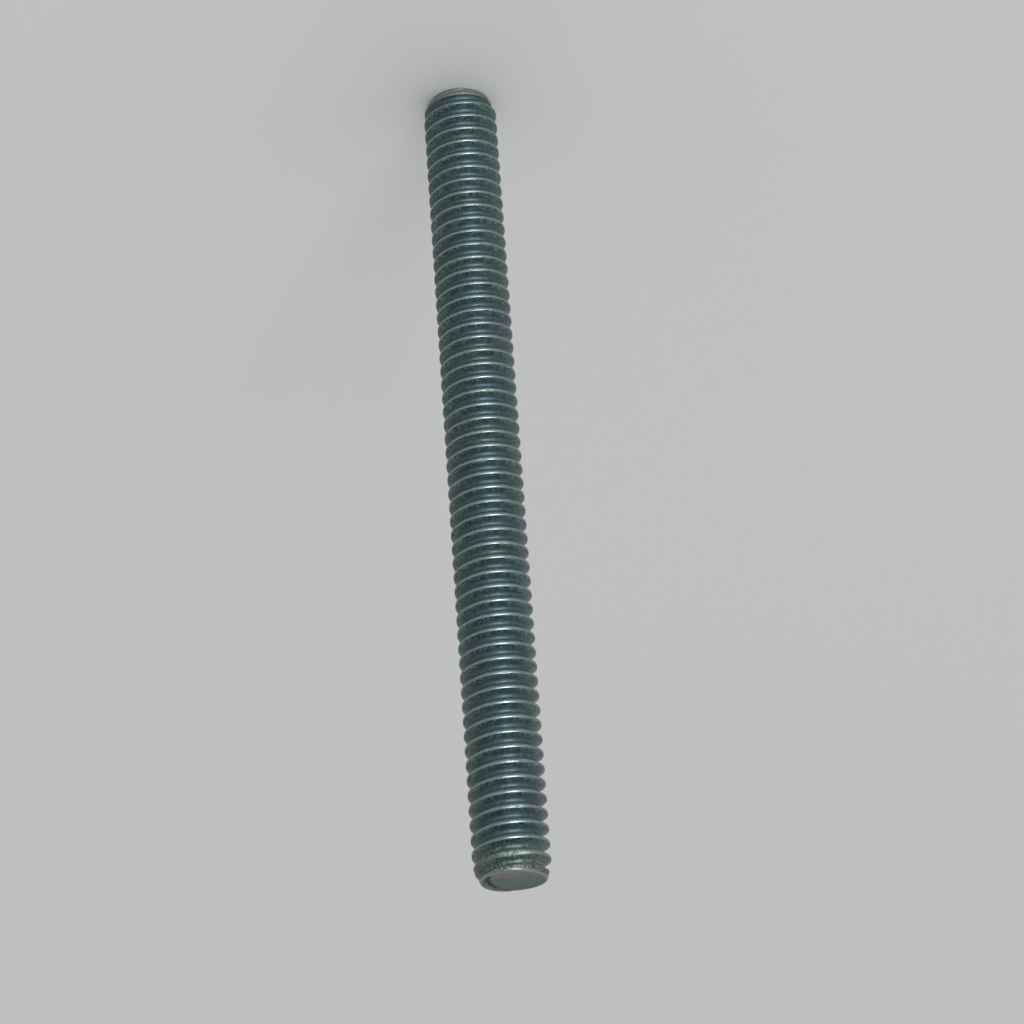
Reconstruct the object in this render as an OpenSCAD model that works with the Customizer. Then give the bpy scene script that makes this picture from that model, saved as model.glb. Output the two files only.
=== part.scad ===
// Headless threaded stud, 1/4 inch with 20 turns to the inch.
// It stands on its foot. Both ends taper, the top end a little longer than the foot.

/* [Stud] */
// Outside diameter, over the thread's crests
major_d = 6.35; // [6:0.05:8]
// Length from the foot to the top end
stud_length = 71.7; // [25:0.1:76]

/* [Thread] */
// Distance from one crest to the next
pitch = 1.27; // [1.2:0.01:1.5]
// Angle between the two flanks of the groove
flank_angle = 60; // [55:1:65]
// Width of the flat along the crest
crest_flat = 0.16; // [0.1:0.01:0.25]
// Width of the flat along the root
root_flat = 0.32; // [0.1:0.01:0.4]
// Where the last crest runs out at the top end, in degrees about the axis from +X
runout_angle = 297; // [0:1:360]

/* [Ends] */
// Diameter of the flat face at the foot
foot_d = 5.2; // [4.5:0.05:5.8]
// Length of the taper at the foot
foot_taper = 1.1; // [0.4:0.05:2]
// Diameter of the flat face at the top end
top_d = 5.5; // [4.5:0.05:5.8]
// Length of the taper at the top end
top_taper = 1.7; // [0.4:0.05:2.5]

/* [Hidden] */
steps_per_turn = 24;
major_r = major_d / 2;
flank_slope = tan(flank_angle / 2);
thread_depth = (pitch - crest_flat - root_flat) / 2 / flank_slope;
root_r = major_r - thread_depth;
// The flanks run on past the crest flat to a sharp edge, which the blank then cuts back
sharp_r = major_r + crest_flat / 2 / flank_slope;
crest_height = (pitch + root_flat) / 2;
// The helix starts more than a turn below the foot and ends more than a turn above the top end
turns_down = ceil(stud_length / pitch) + 1;
turns = turns_down + 2;
steps = turns * steps_per_turn;
first_z = stud_length - turns_down * pitch - crest_height;

// One pitch of the thread's section, as [radius, height]
ridge = [
    [root_r, 0],
    [root_r, root_flat],
    [sharp_r, crest_height],
];
corners = len(ridge);

// Corner c of the section after i steps along the helix
function on_helix(i, c) =
    let (angle = runout_angle + 360 * i / steps_per_turn)
    [ridge[c][0] * cos(angle), ridge[c][0] * sin(angle),
     first_z + ridge[c][1] + pitch * i / steps_per_turn];

function id(i, c) = i * corners + c;

// Four-cornered face between two steps, as two triangles
function quad(a, b, c, d) = [[a, b, c], [a, c, d]];

module helical_bar() {
    points = [
        for (i = [0:steps]) for (c = [0:corners - 1]) on_helix(i, c),
        [0, 0, first_z],
        [0, 0, first_z + pitch * (turns + 1)],
    ];
    foot = len(points) - 2;
    top = len(points) - 1;
    last = corners - 1;
    along_ridge = [
        for (i = [0:steps - 1]) for (c = [0:last - 1])
            each quad(id(i, c), id(i, c + 1), id(i + 1, c + 1), id(i + 1, c))
    ];
    to_next_turn = [
        for (i = [0:steps - steps_per_turn - 1])
            each quad(id(i, last), id(i + steps_per_turn, 0),
                      id(i + 1 + steps_per_turn, 0), id(i + 1, last))
    ];
    foot_cap = [for (i = [0:steps_per_turn - 1]) [foot, id(i, 0), id(i + 1, 0)]];
    top_cap = [for (i = [steps - steps_per_turn:steps - 1]) [top, id(i + 1, last), id(i, last)]];
    foot_step = [[foot, id(steps_per_turn, 0), for (c = [last:-1:0]) id(0, c)]];
    top_step = [[top, id(steps - steps_per_turn, last), for (c = [0:last]) id(steps, c)]];
    polyhedron(points, concat(along_ridge, to_next_turn, foot_cap, top_cap, foot_step, top_step));
}

// Turned blank: plain outside, tapered at both ends
module blank() {
    rotate_extrude($fn = 96)
        polygon([
            [0, 0],
            [foot_d / 2, 0],
            [major_r, foot_taper],
            [major_r, stud_length - top_taper],
            [top_d / 2, stud_length],
            [0, stud_length],
        ]);
}

module threaded_stud() {
    color("slategray")
        intersection() {
            blank();
            helical_bar();
        }
}

threaded_stud();
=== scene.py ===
import math

import bmesh
import bpy
import numpy as np
from mathutils import Matrix, Vector, noise


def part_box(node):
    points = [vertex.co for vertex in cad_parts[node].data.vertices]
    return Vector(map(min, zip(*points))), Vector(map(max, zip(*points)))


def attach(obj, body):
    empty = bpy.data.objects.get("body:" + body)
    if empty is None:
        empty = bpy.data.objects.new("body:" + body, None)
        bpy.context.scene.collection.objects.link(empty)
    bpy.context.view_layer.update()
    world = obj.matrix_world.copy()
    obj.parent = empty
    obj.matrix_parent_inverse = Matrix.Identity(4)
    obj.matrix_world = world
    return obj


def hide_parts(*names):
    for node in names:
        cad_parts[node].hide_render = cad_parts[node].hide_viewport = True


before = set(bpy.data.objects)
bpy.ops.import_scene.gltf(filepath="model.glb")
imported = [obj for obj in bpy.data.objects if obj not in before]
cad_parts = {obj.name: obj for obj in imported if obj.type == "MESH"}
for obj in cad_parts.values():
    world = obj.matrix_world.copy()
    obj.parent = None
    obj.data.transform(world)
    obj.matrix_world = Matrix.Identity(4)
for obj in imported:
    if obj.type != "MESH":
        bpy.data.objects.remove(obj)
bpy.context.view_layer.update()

MM = 0.001

# ---- the stud's sizes, in millimetres, the same as in the part's source ----
low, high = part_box("threaded_stud")
LENGTH = (high.z - low.z) / MM
MAJOR_R = (high.x - low.x) / 2 / MM
PITCH = 1.27
FLANK_SLOPE = math.tan(math.radians(30))
RUNOUT_ANGLE = 297  # degrees from +X: where the last crest runs out at the top end
FOOT_R, FOOT_TAPER = 2.6, 1.1
TOP_R, TOP_TAPER = 2.75, 1.7
TOP_TAPER_CURVE = 1.2  # 1 would be a straight taper

# ---- the thread as rolled, plated and worn: round roots and rounded crests ----
STEPS_PER_TURN = 100
TURNS_PAST_TOP = 1.5  # the helix starts this far above the top end, where it is cut off
TURNS_TO_SPARE = 3
ROOT_ARC_R = 0.32
ROOT_ARC_ANGLES = (0, 20, 40, 60)
CREST_FLAT = 0.22
CREST_EDGE_R = 0.15
CREST_EDGE_ANGLES = (60, 35, 5)
ROOT_R = MAJOR_R - (PITCH - CREST_FLAT) / 2 / FLANK_SLOPE + ROOT_ARC_R
SECTION_SAMPLES = 200

# The level of each row of points, for the material: the root is 0 and the crest is 1
ROOT_ARC_LEVEL = 0.35
CREST_LEVELS = (0.70, 0.87, 1.0, 1.0)
# How far each row by the crest spreads to the edges of a flattened place
CREST_SPREADS = (1.1, 1.0, 0.8, 0.0)
# The middle of a flattened crest sinks by this share of the cut, and by no more than the second
DIP_SHARE, DIP_MOST = 0.3, 0.05

# Wear along the crest: depth, waves in a turn and seed, coarse and fine
WEAR, WEAR_WAVES, WEAR_SEED = 0.012, 5.0, 3.1
FINE_WEAR, FINE_WAVES, FINE_SEED = 0.006, 23.0, 7.7
WEAR_MOST = 0.2
# Flattened places on the crest: turns down from the top end, depth, half-width in degrees
FLATS = [
    (1.085, 0.08, 20),
    (0.16, 0.05, 14),
    (2.31, 0.05, 5),
    (4.12, 0.06, 4),
    (5.03, 0.03, 9),
    (7.16, 0.05, 4),
    (9.97, 0.04, 7),
    (13.10, 0.05, 4),
    (17.02, 0.04, 5),
    (22.13, 0.05, 4),
    (28.07, 0.03, 7),
    (33.12, 0.05, 4),
    (38.01, 0.04, 4),
    (44.15, 0.04, 6),
    (50.06, 0.05, 4),
]

# ---- the ends ----
TOP_RIM = 0.20
FOOT_RIM = 0.10
# The rim's rounding: share of its width inwards, share of its height outwards
RIM_CURVE = [(0.06, 0.34), (0.20, 0.64), (0.45, 0.87), (0.75, 0.97), (1.0, 1.0)]
RIM_WIDTH = 0.8  # as a share of its height
# The rings of an end's face, as shares of its radius: close together where the lap lies
FACE_RINGS = [1 - 0.02 * n for n in range(1, 21)] + [0.54, 0.46, 0.36, 0.24, 0.12]
# The top end's rim sinks by this share on the side away from the camera, but not along the lap
RIM_SINK = 0.6
RIM_LAP_START, RIM_LAP_SPAN = -50, 128
# The lap on the top end's face: where it starts and how far it runs, in degrees round the stud
LAP_START, LAP_SPAN = -46, 125
DISH_DEPTH = 0.20
CRACK_DEPTH = 0.32
CRACK_INSET, CRACK_BOW = 0.30, 0.30  # from the rim, at its ends and more at its middle
CRACK_WIDTH, CRACK_OPENING = 0.06, 0.16  # at the closed end, and more at the open one
LAP_EDGE = 0.1  # width over which the lap's look sets in, outside the crack
WELD = 1e-4  # points closer than this are one


def crest_limit(z):
    """Radius that the tapers leave to a crest at height z."""
    foot = FOOT_R + (MAJOR_R - FOOT_R) * np.clip(z / FOOT_TAPER, 0, 1)
    share = np.clip((LENGTH - z) / TOP_TAPER, 0, 1)
    top = MAJOR_R - (MAJOR_R - TOP_R) * (1 - share) ** TOP_TAPER_CURVE
    return np.minimum(foot, top)


def wavy(values, scale, seed):
    """Smooth noise along a row of values, from about -1 to 1."""
    return np.array([noise.noise(Vector((v * scale, seed, 0.5 * seed))) for v in values])


def half_section():
    """Half a pitch of the thread as rows of (distance from the crest, radius).

    The first list runs up the root's arc and the second over the crest's rounded edge.
    """
    root = [(PITCH / 2 - ROOT_ARC_R * math.sin(d), ROOT_R + ROOT_ARC_R * (1 - math.cos(d)))
            for d in map(math.radians, ROOT_ARC_ANGLES)]
    flat = CREST_FLAT / 2 - CREST_EDGE_R * FLANK_SLOPE
    crest = [(flat + CREST_EDGE_R * math.sin(d), MAJOR_R - CREST_EDGE_R * (1 - math.cos(d)))
             for d in map(math.radians, CREST_EDGE_ANGLES)]
    return np.array(root), np.array(crest + [(0, MAJOR_R)])


def crest_wear(turns_down):
    """How much of the crest is worn or knocked off, along the helix."""
    wear = (WEAR * (1 + wavy(turns_down, WEAR_WAVES, WEAR_SEED))
            + FINE_WEAR * wavy(turns_down, FINE_WAVES, FINE_SEED))
    for where, depth, width in FLATS:
        wear += depth * np.exp(-(((turns_down - where) * 360 / width) ** 2))
    return np.clip(wear, 0, WEAR_MOST)


def make_thread():
    """The threaded surface: points, quads, and what each point is.

    The level runs from root (0) to crest (1); the side is 1 on flanks that face up and 0 on the
    others; the cut is 1 where a crest is flattened by a taper or a knock.
    """
    turns = int(math.ceil(LENGTH / PITCH)) + TURNS_TO_SPARE
    steps = turns * STEPS_PER_TURN
    turns_down = (steps - np.arange(steps + 1)) / STEPS_PER_TURN - TURNS_PAST_TOP
    angle = math.radians(RUNOUT_ANGLE) - 2 * math.pi * turns_down
    crest_z = LENGTH - PITCH * turns_down
    wear = crest_wear(turns_down)
    cut = MAJOR_R - crest_limit(crest_z) + wear
    root, crest = half_section()
    whole = np.concatenate([root, crest])[::-1]
    across = np.linspace(0, PITCH / 2, SECTION_SAMPLES)
    height = np.interp(across, whole[:, 0], whole[:, 1])
    half_cut = np.interp(cut, MAJOR_R - height, across)

    # rows of half the section: distance from the crest, level, and whether it is by the crest
    rows = []
    for w, r in root:
        level = ROOT_ARC_LEVEL * (r - ROOT_R) / (ROOT_ARC_R / 2)
        rows.append((np.full(steps + 1, w), level, False))
    for (w, r), spread, level in zip(crest, CREST_SPREADS, CREST_LEVELS):
        rows.append((np.maximum(w, half_cut * spread), level, True))
    # a crest counts as flattened from a cut of 0.036 mm, and wholly from 0.156 mm
    flattened = np.clip(cut / 0.12 - 0.3, 0, 1)
    last = len(rows) - 1
    columns = []
    # below the crest the rows run from the root to the crest, and above it back to the root
    for side, n in [(-1, n) for n in range(last + 1)] + [(1, n) for n in range(last - 1, 0, -1)]:
        w, rank, on_crest = rows[n]
        z = crest_z + side * w
        r = np.interp(w, across, height)
        if on_crest:
            r = np.minimum(r, crest_limit(z) - wear)
        if n == last:
            r = r - np.clip(cut * DIP_SHARE, 0, DIP_MOST)
        faces_up = 0.5 if n in (0, last) else 0.5 + 0.5 * side
        level = np.full(steps + 1, rank)
        columns.append((z, r, level, np.full(steps + 1, faces_up), flattened * (n >= last - 2)))

    corners = len(columns)
    z, r, level, side, cut = (np.stack([c[k] for c in columns], axis=1) for k in range(5))
    a = np.repeat(angle[:, None], corners, axis=1)
    points = np.stack([r * np.cos(a), r * np.sin(a), z], axis=-1).reshape(-1, 3)
    marks = {"level": level.reshape(-1), "side": side.reshape(-1), "cut": cut.reshape(-1)}
    return points, thread_quads(steps, corners), marks


def thread_quads(steps, corners):
    """Quads along the helix, and the seam that joins each turn to the next."""
    index = np.arange((steps + 1) * corners).reshape(steps + 1, corners)
    n = STEPS_PER_TURN
    along = [index[:-1, :-1], index[1:, :-1], index[1:, 1:], index[:-1, 1:]]
    seam = [index[:-n - 1, -1], index[1:-n, -1], index[n + 1:, 0], index[n:-1, 0]]
    return np.concatenate([np.stack(four, axis=-1).reshape(-1, 4) for four in (along, seam)])


def boundary_loop(bm, z):
    """The points of the cut at height z, in order round the stud."""
    edge = [v for v in bm.verts if abs(v.co.z - z) < WELD]
    return sorted(edge, key=lambda v: math.atan2(v.co.y, v.co.x))


def side_angle(x, y):
    """Angle round the stud from the side that faces the camera, in degrees."""
    return (270 - math.degrees(math.atan2(y, x)) + 180) % 360 - 180


def bell(x):
    return math.exp(-x * x)


def top_rise(phi):
    """Height of the top end's rim, as a share of TOP_RIM: it sinks away from the camera."""
    share = min(max((RIM_LAP_START - phi) / RIM_LAP_SPAN, 0), 1)
    lap = math.sin(math.pi * share) ** 0.5
    return 1 - RIM_SINK * (1 - lap) * (1 - math.cos(math.radians(phi))) / 2


def top_face(x, y, rim_r):
    """How deep the top end's face lies below its rim, and how much of the place is the lap.

    The lap is the last turn, pressed over the face on one side, with a crack inside it that opens
    at one end.
    """
    r = math.hypot(x, y)
    depth = DISH_DEPTH * (1 - (r / rim_r) ** 2)
    t = (LAP_START - side_angle(x, y)) / LAP_SPAN
    if not 0 < t < 1:
        return depth, 0.0
    ends = min(1, 5 * t, 5 * (1 - t))  # fades out over a fifth of its length at each end
    crack_r = rim_r - CRACK_INSET - CRACK_BOW * math.sin(math.pi * t)
    width = CRACK_WIDTH + CRACK_OPENING * (1 - t) ** 2
    depth += CRACK_DEPTH * ends * bell((r - crack_r) / width)
    return depth, ends * min(max((r - crack_r) / LAP_EDGE, 0), 1)


def flat_rise(phi):
    return 1.0


def flat_face(x, y, rim_r):
    return 0.0, 0.0


def close_end(bm, z, outward, rim, rise, face, marks):
    """Closes the stud's end at height z: a rounded rim, then the face in rings.

    The rim keeps the crest's level, 1, and the face has level 2, with the lap as its cut.
    """
    def add_point(x, y, height, level, lap):
        v = bm.verts.new((x, y, height))
        v[marks["level"]] = level
        v[marks["side"]] = 0.5
        v[marks["cut"]] = lap
        return v

    loop = boundary_loop(bm, z)
    rises = [rise(side_angle(v.co.x, v.co.y)) for v in loop]
    rings = [loop]
    for inwards, up in RIM_CURVE:
        ring = []
        for v, share in zip(loop, rises):
            r = math.hypot(v.co.x, v.co.y)
            k = (r - inwards * RIM_WIDTH * rim) / r
            height = z + outward * rim * up * share
            ring.append(add_point(v.co.x * k, v.co.y * k, height, 1.0, 0.0))
        rings.append(ring)
    edge = rings[-1]
    for share in FACE_RINGS:
        ring = []
        for v in edge:
            x, y = v.co.x * share, v.co.y * share
            height = z + outward * rim + (v.co.z - z - outward * rim) * share
            depth, lap = face(x, y, math.hypot(v.co.x, v.co.y))
            ring.append(add_point(x, y, height - outward * depth, 2.0, lap))
        rings.append(ring)
    centre = bm.verts.new((0, 0, z + outward * (rim - face(0, 0, TOP_R)[0])))
    centre[marks["level"]] = 2.0
    count = len(loop)
    pairs = [(k, (k + 1) % count) for k in range(count)]
    for inner, outer in zip(rings[1:], rings[:-1]):
        for a, b in pairs:
            bm.faces.new([outer[a], outer[b], inner[b], inner[a]])
    for a, b in pairs:
        bm.faces.new([rings[-1][a], rings[-1][b], centre])


def make_stud():
    points, quads, values = make_thread()
    mesh = bpy.data.meshes.new("stud_skin")
    mesh.from_pydata(points.tolist(), [], quads.tolist())
    bm = bmesh.new()
    bm.from_mesh(mesh)
    marks = {name: bm.verts.layers.float.new(name) for name in values}
    for name, mark in marks.items():
        for v, value in zip(bm.verts, values[name]):
            v[mark] = value
    for height, outward in ((LENGTH - TOP_RIM, 1), (FOOT_RIM, -1)):
        parts = bm.verts[:] + bm.edges[:] + bm.faces[:]
        bmesh.ops.bisect_plane(bm, geom=parts, dist=1e-6, plane_co=(0, 0, height),
                               plane_no=(0, 0, outward), clear_outer=True)
    bmesh.ops.remove_doubles(bm, verts=bm.verts[:], dist=WELD)
    close_end(bm, LENGTH - TOP_RIM, 1, TOP_RIM, top_rise, top_face, marks)
    close_end(bm, FOOT_RIM, -1, FOOT_RIM, flat_rise, flat_face, marks)
    bmesh.ops.recalc_face_normals(bm, faces=bm.faces[:])
    bmesh.ops.scale(bm, vec=(MM, MM, MM), verts=bm.verts[:])
    for f in bm.faces:
        f.smooth = True
    bm.to_mesh(mesh)
    bm.free()
    stud = bpy.data.objects.new("stud_skin", mesh)
    bpy.context.scene.collection.objects.link(stud)
    return stud


# ---- materials ----

# The plating on the flanks that face up, in the root and on the flanks that face down
FLANK_DARK = (0.070, 0.140, 0.136, 1)
FLANK_LIGHT = (0.175, 0.300, 0.292, 1)
FLANK_SPECK = (0.020, 0.036, 0.034, 1)
# bluish root, painted darker than the flanks: painted shade in the groove
ROOT_SHADED_DARK = (0.018, 0.039, 0.050, 1)
ROOT_SHADED_LIGHT = (0.058, 0.106, 0.130, 1)
# flanks that face down, painted lighter than the root: painted light from below
DOWN_PAINTED_LIT_DARK = (0.075, 0.118, 0.132, 1)
DOWN_PAINTED_LIT_LIGHT = (0.160, 0.222, 0.240, 1)
# The flanks of the last turns by the top end
END_DARK = (0.064, 0.105, 0.096, 1)
END_LIGHT = (0.158, 0.225, 0.206, 1)
# Worn crests, and crests that are flattened
CREST_LIGHT = (0.305, 0.325, 0.316, 1)
CREST_DARK = (0.220, 0.250, 0.240, 1)
CUT_DARK = (0.040, 0.056, 0.050, 1)
CUT_LIGHT = (0.180, 0.225, 0.198, 1)
FOOT_CUT = (0.180, 0.205, 0.190, 1)
# The ends' faces, across from the camera's side: painted light on the camera's side, the teal
# middle, and painted shade on the far side, which also gives the dark specks
FACE_NEAR_PAINTED_LIT = (0.118, 0.134, 0.126, 1)
FACE_MIDDLE = (0.044, 0.110, 0.104, 1)
FACE_SPECK_AND_FAR_SHADE = (0.034, 0.064, 0.060, 1)

# Metallic: 1 where bright, ROOT_METAL where dull, and less on flanks that face down and on a face
ROOT_METAL = 0.60
DOWN_LOSS = 0.35
FACE_LOSS = 0.60
# The top end's last turns, where the blue goes and the flanks are scuffed
END_FROM, END_TO = LENGTH - 3.6, LENGTH - 1.4

FLOOR_COLOUR = (0.84, 0.865, 0.86, 1)


class Nodes:
    """Short ways to add and link a material's nodes."""

    def __init__(self, tree):
        self.nodes, self.links = tree.nodes, tree.links

    def put(self, value, socket):
        """Links a node's output to a socket, or sets the socket to a number, vector or colour."""
        if isinstance(value, bpy.types.NodeSocket):
            self.links.new(value, socket)
        else:
            socket.default_value = value

    def add(self, kind, inputs=(), out=0, **settings):
        node = self.nodes.new("ShaderNode" + kind)
        for name, value in settings.items():
            setattr(node, name, value)
        for key, value in dict(inputs).items():
            self.put(value, node.inputs[key])
        return node.outputs[out]

    def fit(self, value, from_low, from_high, to_low=0.0, to_high=1.0):
        """Maps a range of values to another, and clamps to it."""
        inputs = {0: value, 1: from_low, 2: from_high, 3: to_low, 4: to_high}
        return self.add("MapRange", inputs, clamp=True)

    def noise(self, vector, scale, detail):
        return self.add("TexNoise", {"Vector": vector, "Scale": scale, "Detail": detail})

    def scaled(self, vector, factors):
        return self.add("VectorMath", {0: vector, 1: factors}, operation="MULTIPLY")

    def part(self, vector, axis):
        return self.add("SeparateXYZ", {0: vector}, out="XYZ".index(axis))

    def mark(self, name):
        return self.add("Attribute", out=2, attribute_name=name)

    def math(self, operation, a, b):
        return self.add("Math", {0: a, 1: b}, operation=operation)

    def total(self, first, *others):
        for other in others:
            first = self.math("ADD", first, other)
        return first

    def times(self, a, b):
        return self.math("MULTIPLY", a, b)

    def mix(self, share, a, b):
        """Mixes colours a and b."""
        node = self.nodes.new("ShaderNodeMix")
        node.data_type = "RGBA"
        for name, kind, value in (("Factor", "VALUE", share), ("A", "RGBA", a), ("B", "RGBA", b)):
            self.put(value, next(s for s in node.inputs if (s.name, s.type) == (name, kind)))
        return next(s for s in node.outputs if s.type == "RGBA")


def zinc():
    """Zinc plating, passivated blue-green and worn bright on the crests."""
    m = bpy.data.materials.new("zinc_passivated")
    m.use_nodes = True
    n = Nodes(m.node_tree)
    shader = n.nodes["Principled BSDF"].inputs

    # what each place is
    place = n.add("TexCoord", out=3)
    mm = n.scaled(place, (1000, 1000, 1000))
    across_mm = n.part(mm, "Y")
    height_mm = n.part(mm, "Z")
    level, side, cut = n.mark("level"), n.mark("side"), n.mark("cut")
    mottle = n.noise(mm, 2.4, 4.0)
    speck = n.noise(mm, 6.5, 3.0)
    streak = n.noise(n.scaled(place, (500, 500, 7000)), 1.0, 2.0)
    rough_level = n.math("ADD", level, n.fit(speck, 0.3, 0.7, -0.06, 0.06))
    # the crests are worn bright, more on the side that faces up, and hardly at all by the foot
    worn = n.fit(n.math("ADD", rough_level, n.fit(side, 0.0, 1.0, -0.06, 0.06)), 0.90, 1.0)
    worn = n.times(worn, n.fit(height_mm, 0.5, 3.0))
    face = n.fit(n.math("SUBTRACT", n.fit(level, 1.1, 1.9), cut), 0.0, 1.0)
    # the plating lies dull in the root and on the flank that faces down, less metallic and rougher
    # there; the same masks carry the root's painted shade and the down-facing flank's painted
    # light
    down = n.times(n.fit(side, 0.1, 0.5, 1.0, 0.0), n.fit(level, 0.1, 0.4))
    dull_and_shaded = n.math("MAXIMUM", n.fit(rough_level, -0.05, 0.75, 1.0, 0.0), down)
    dull_and_shaded = n.times(dull_and_shaded, n.fit(rough_level, 0.75, 0.98, 1.0, 0.0))

    # the flanks, scuffed greyer by the top end, then the bluish root in painted shade and the
    # flank that faces down in painted light
    scuffed = n.fit(height_mm, END_FROM, END_TO)
    dark = n.mix(scuffed, FLANK_DARK, END_DARK)
    light = n.mix(scuffed, FLANK_LIGHT, END_LIGHT)
    colour = n.mix(n.fit(mottle, 0.35, 0.65), dark, light)
    colour = n.mix(n.fit(speck, 0.48, 0.58, 0.0, 0.9), colour, FLANK_SPECK)
    grain = n.fit(speck, 0.40, 0.60)
    # painted shade: the root takes its darker colours, fading out by the top end
    blue = n.times(dull_and_shaded, n.fit(height_mm, END_FROM, END_TO, 1.0, 0.1))
    colour = n.mix(blue, colour, n.mix(grain, ROOT_SHADED_DARK, ROOT_SHADED_LIGHT))
    # painted light: the flank that faces down takes lighter colours than the root
    colour = n.mix(down, colour, n.mix(grain, DOWN_PAINTED_LIT_DARK, DOWN_PAINTED_LIT_LIGHT))
    # the crests, worn or flattened
    crest = n.mix(n.fit(speck, 0.4, 0.7), CREST_LIGHT, CREST_DARK)
    colour = n.mix(n.times(worn, 0.9), colour, crest)
    flat = n.mix(n.fit(speck, 0.42, 0.58), CUT_DARK, CUT_LIGHT)
    colour = n.mix(cut, colour, n.mix(n.fit(height_mm, 2.0, 4.0), FOOT_CUT, flat))
    # the ends' faces: painted light on the camera's side, dark specks, and painted shade on the
    # far edge
    end = n.mix(n.fit(across_mm, -2.4, 0.4), FACE_NEAR_PAINTED_LIT, FACE_MIDDLE)
    end = n.mix(n.fit(speck, 0.40, 0.62, 0.0, 0.5), end, FACE_SPECK_AND_FAR_SHADE)
    # painted shade: the face darkens to its far edge, away from the camera's side
    end = n.mix(n.fit(across_mm, 1.2, 2.6), end, FACE_SPECK_AND_FAR_SHADE)
    n.put(n.mix(face, colour, end), shader["Base Color"])

    metal = n.total(n.times(dull_and_shaded, ROOT_METAL - 1), n.times(down, -DOWN_LOSS),
                    n.times(face, -FACE_LOSS), 1.0)
    n.put(metal, shader["Metallic"])
    rough = n.total(n.fit(mottle, 0.3, 0.7, 0.38, 0.48), n.times(dull_and_shaded, 0.10),
                    n.times(worn, -0.05), n.times(cut, 0.28), n.times(face, 0.10))
    n.put(rough, shader["Roughness"])
    shader["Specular IOR Level"].default_value = 0.25
    shader["Coat Weight"].default_value = 0.4
    shader["Coat Roughness"].default_value = 0.4
    relief = n.math("ADD", n.times(speck, 0.6), streak)
    relief = n.add("Bump", {"Strength": 0.5, "Distance": 0.03 * MM, "Height": relief})
    n.put(relief, shader["Normal"])
    return m


def floor_material():
    m = bpy.data.materials.new("pale_floor")
    m.use_nodes = True
    shader = m.node_tree.nodes["Principled BSDF"].inputs
    shader["Base Color"].default_value = FLOOR_COLOUR
    shader["Roughness"].default_value = 0.9
    shader["Specular IOR Level"].default_value = 0.1
    return m


def make_floor():
    bpy.ops.mesh.primitive_plane_add(size=6.0, location=(0, 0, 0))
    floor = bpy.context.object
    floor.name = "floor"
    floor.data.materials.append(floor_material())


# ---- light and camera ----

# The dome's brightness by the sine of the height above the horizon
DOME = [
    (0.00, (0.60, 0.56, 0.52)),
    (0.16, (0.56, 0.53, 0.50)),
    (0.34, (0.40, 0.39, 0.38)),
    (0.50, (0.55, 0.53, 0.50)),
    (0.64, (1.00, 0.96, 0.90)),
    (0.78, (0.44, 0.44, 0.43)),
    (0.88, (0.24, 0.25, 0.26)),
    (0.97, (0.38, 0.40, 0.42)),
]
SIDE_TILT = 0.18  # the dome is this much brighter on one side and darker on the other

# Area lights: name, place, aim, size, watts, colour
LIGHTS = [
    ("back_light", (0, 0.70, 1.0), (0, 0, 0.02), (1.0, 1.0), 1.1, (1, 1, 1)),
    ("low_front", (-0.30, -0.95, 0.07), (0, 0, 0.035), (0.40, 0.16), 9.4, (0.96, 0.99, 1.0)),
]

# The camera looks down on the standing stud, rolled half round, so the top end is nearest and low
CAMERA_PLACE = (0, -0.2665, 0.16283)
CAMERA_AIM = (-0.002025, 0, 0.039572)
CAMERA_ROLL = 180 - 4.153
FOCAL_MM = 124.7
SENSOR_MM = 36


def area_light(name, place, aim, size, watts, colour):
    data = bpy.data.lights.new(name, "AREA")
    data.shape = "RECTANGLE"
    data.size, data.size_y = size
    data.energy = watts
    data.color = colour
    light = bpy.data.objects.new(name, data)
    light.location = place
    light.rotation_euler = (Vector(aim) - Vector(place)).to_track_quat("-Z", "Y").to_euler()
    bpy.context.scene.collection.objects.link(light)


def studio():
    world = bpy.data.worlds.new("studio")
    bpy.context.scene.world = world
    world.use_nodes = True
    n = Nodes(world.node_tree)
    way = n.add("TexCoord", out=0)
    ramp = n.nodes.new("ShaderNodeValToRGB")
    n.put(n.part(way, "Z"), ramp.inputs[0])
    marks = ramp.color_ramp.elements
    for spot, colour in DOME[2:]:
        marks.new(spot)
    for mark, (spot, colour) in zip(marks, DOME):
        mark.position = spot
        mark.color = (*colour, 1)
    back = n.nodes["Background"].inputs
    n.put(ramp.outputs[0], back["Color"])
    n.put(n.fit(n.part(way, "X"), -1, 1, 1 + SIDE_TILT, 1 - SIDE_TILT), back["Strength"])
    for light in LIGHTS:
        area_light(*light)


def camera():
    data = bpy.data.cameras.new("camera")
    data.sensor_width = SENSOR_MM
    data.lens = FOCAL_MM
    data.clip_start = 0.01
    cam = bpy.data.objects.new("camera", data)
    ahead = (Vector(CAMERA_AIM) - Vector(CAMERA_PLACE)).normalized()
    right = ahead.cross(Vector((0, 0, 1))).normalized()
    up = right.cross(ahead)
    turn = Matrix((right, up, -ahead)).transposed().to_4x4()
    roll = Matrix.Rotation(math.radians(CAMERA_ROLL), 4, "Z")
    cam.matrix_world = Matrix.Translation(CAMERA_PLACE) @ turn @ roll
    bpy.context.scene.collection.objects.link(cam)
    bpy.context.scene.camera = cam


camera()
stud = make_stud()
stud.data.materials.append(zinc())
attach(stud, "root")
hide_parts("threaded_stud")
make_floor()
studio()
bpy.context.scene.view_settings.view_transform = "Standard"
